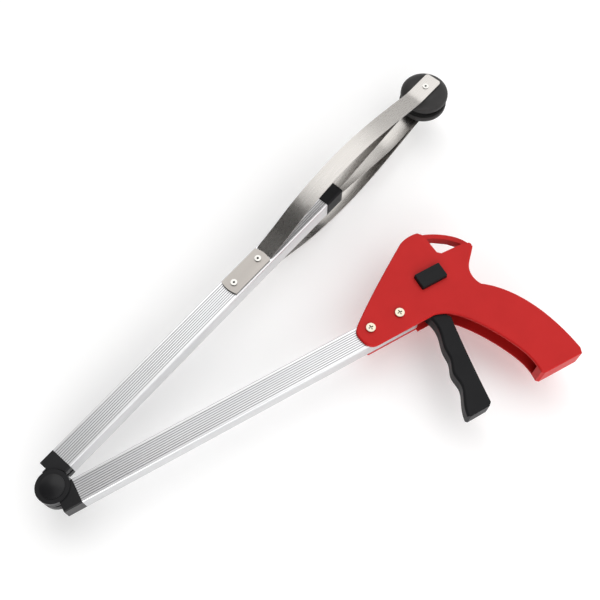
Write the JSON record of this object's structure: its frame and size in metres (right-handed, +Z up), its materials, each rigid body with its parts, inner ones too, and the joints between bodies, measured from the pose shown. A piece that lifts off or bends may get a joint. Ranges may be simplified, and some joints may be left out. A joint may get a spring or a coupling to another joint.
{
  "type": "reacher grabber",
  "caption": "Folding reaching aid: fluted tube arms on a fold hinge, pistol grip with trigger, and bowed steel jaws with rubber cups.",
  "frame": {"origin": "centre of the bounding box in plan, at the lowest point of the part as it lies flat", "axes": "+Z up along the fold pin, normal to the plane the arms fold in; +X from the fold hinge along the rear tube towards the handle; +Y towards the front arm"},
  "size_m": [0.4362, 0.2764, 0.0616],
  "materials": {
    "red_shell": "smooth moulded, light gloss",
    "black_plastic": "fine moulded texture",
    "tube_aluminium": "satin anodised, fine lengthwise flutes",
    "hinge_plastic": "moulded, satin",
    "spring_steel": "brushed along the strip",
    "bright_steel": "bright plated",
    "cup_rubber": "dull soft rubber",
    "cable_steel": "stranded wire"
  },
  "bodies": {
    "rear_arm": {"rear_tube": "tube_aluminium", "rear_hinge_connector": "hinge_plastic", "hinge_pin": "bright_steel", "hinge_washers": "bright_steel", "hinge_cap_near": "hinge_plastic", "hinge_cap_far": "hinge_plastic", "handle_shell_near": "red_shell", "handle_shell_far": "red_shell", "handle_screws": "bright_steel", "handle_nuts": "bright_steel", "trigger_pin": "bright_steel", "cable_fold": "cable_steel"},
    "trigger": {"trigger": "black_plastic", "cable_barrel": "bright_steel"},
    "lock_button": {"lock_button": "black_plastic"},
    "rear_cable": {"cable_rear": "cable_steel"},
    "front_arm": {"front_tube": "tube_aluminium", "front_hinge_connector": "hinge_plastic", "end_cap": "black_plastic", "jaw_root_near": "spring_steel", "jaw_root_far": "spring_steel", "jaw_plate_near": "spring_steel", "jaw_plate_far": "spring_steel", "plate_rivets": "bright_steel"},
    "pull": {"cable_front": "cable_steel", "cable_ferrule": "bright_steel", "pull_slider": "black_plastic"},
    "jaw_near": {"outer_band_near": "spring_steel", "pull_strip_near": "spring_steel", "suction_cup_near": "cup_rubber", "tip_rivet_near": "bright_steel"},
    "jaw_far": {"outer_band_far": "spring_steel", "pull_strip_far": "spring_steel", "suction_cup_far": "cup_rubber", "tip_rivet_far": "bright_steel"}
  },
  "joints": [
    {"name": "fold", "type": "hinge", "parent": "rear_arm", "child": "front_arm", "pos_m": [-0.20609, -0.03743, 0.03081], "axis": [0, 0, 1], "range_deg": [-10, 160], "deforming": ["cable_fold"]},
    {"name": "trigger_pivot", "type": "hinge", "parent": "rear_arm", "child": "trigger", "pos_m": [0.08541, -0.03343, 0.03081], "axis": [0, 0, 1], "range_deg": [0, 26], "stiffness_Nm_per_rad": 0.3},
    {"name": "lock_push", "type": "slide", "parent": "rear_arm", "child": "lock_button", "axis": [0, 0, -1], "range_m": [0, 0.0035]},
    {"name": "rear_cable_run", "type": "slide", "parent": "rear_arm", "child": "rear_cable", "axis": [1, 0, 0], "range_m": [0, 0.0081]},
    {"name": "front_pull", "type": "slide", "parent": "front_arm", "child": "pull", "axis": [-0.9415, -0.3371, 0], "range_m": [0, 0.0081]},
    {"name": "jaw_near_close", "type": "hinge", "parent": "front_arm", "child": "jaw_near", "pos_m": [0.00509, 0.04913, 0.03901], "axis": [-0.3371, 0.9415, 0], "range_deg": [0, 0.8]},
    {"name": "jaw_far_close", "type": "hinge", "parent": "front_arm", "child": "jaw_far", "pos_m": [0.00509, 0.04913, 0.02261], "axis": [0.3371, -0.9415, 0], "range_deg": [0, 0.8]}
  ],
  "couplings": [
    {"joint": "rear_cable_run", "follows": "trigger_pivot", "m_per_rad": 0.017629},
    {"joint": "front_pull", "follows": "trigger_pivot", "m_per_rad": 0.017629},
    {"joint": "jaw_near_close", "follows": "trigger_pivot", "ratio": 0.028846},
    {"joint": "jaw_far_close", "follows": "trigger_pivot", "ratio": 0.028846}
  ]
}
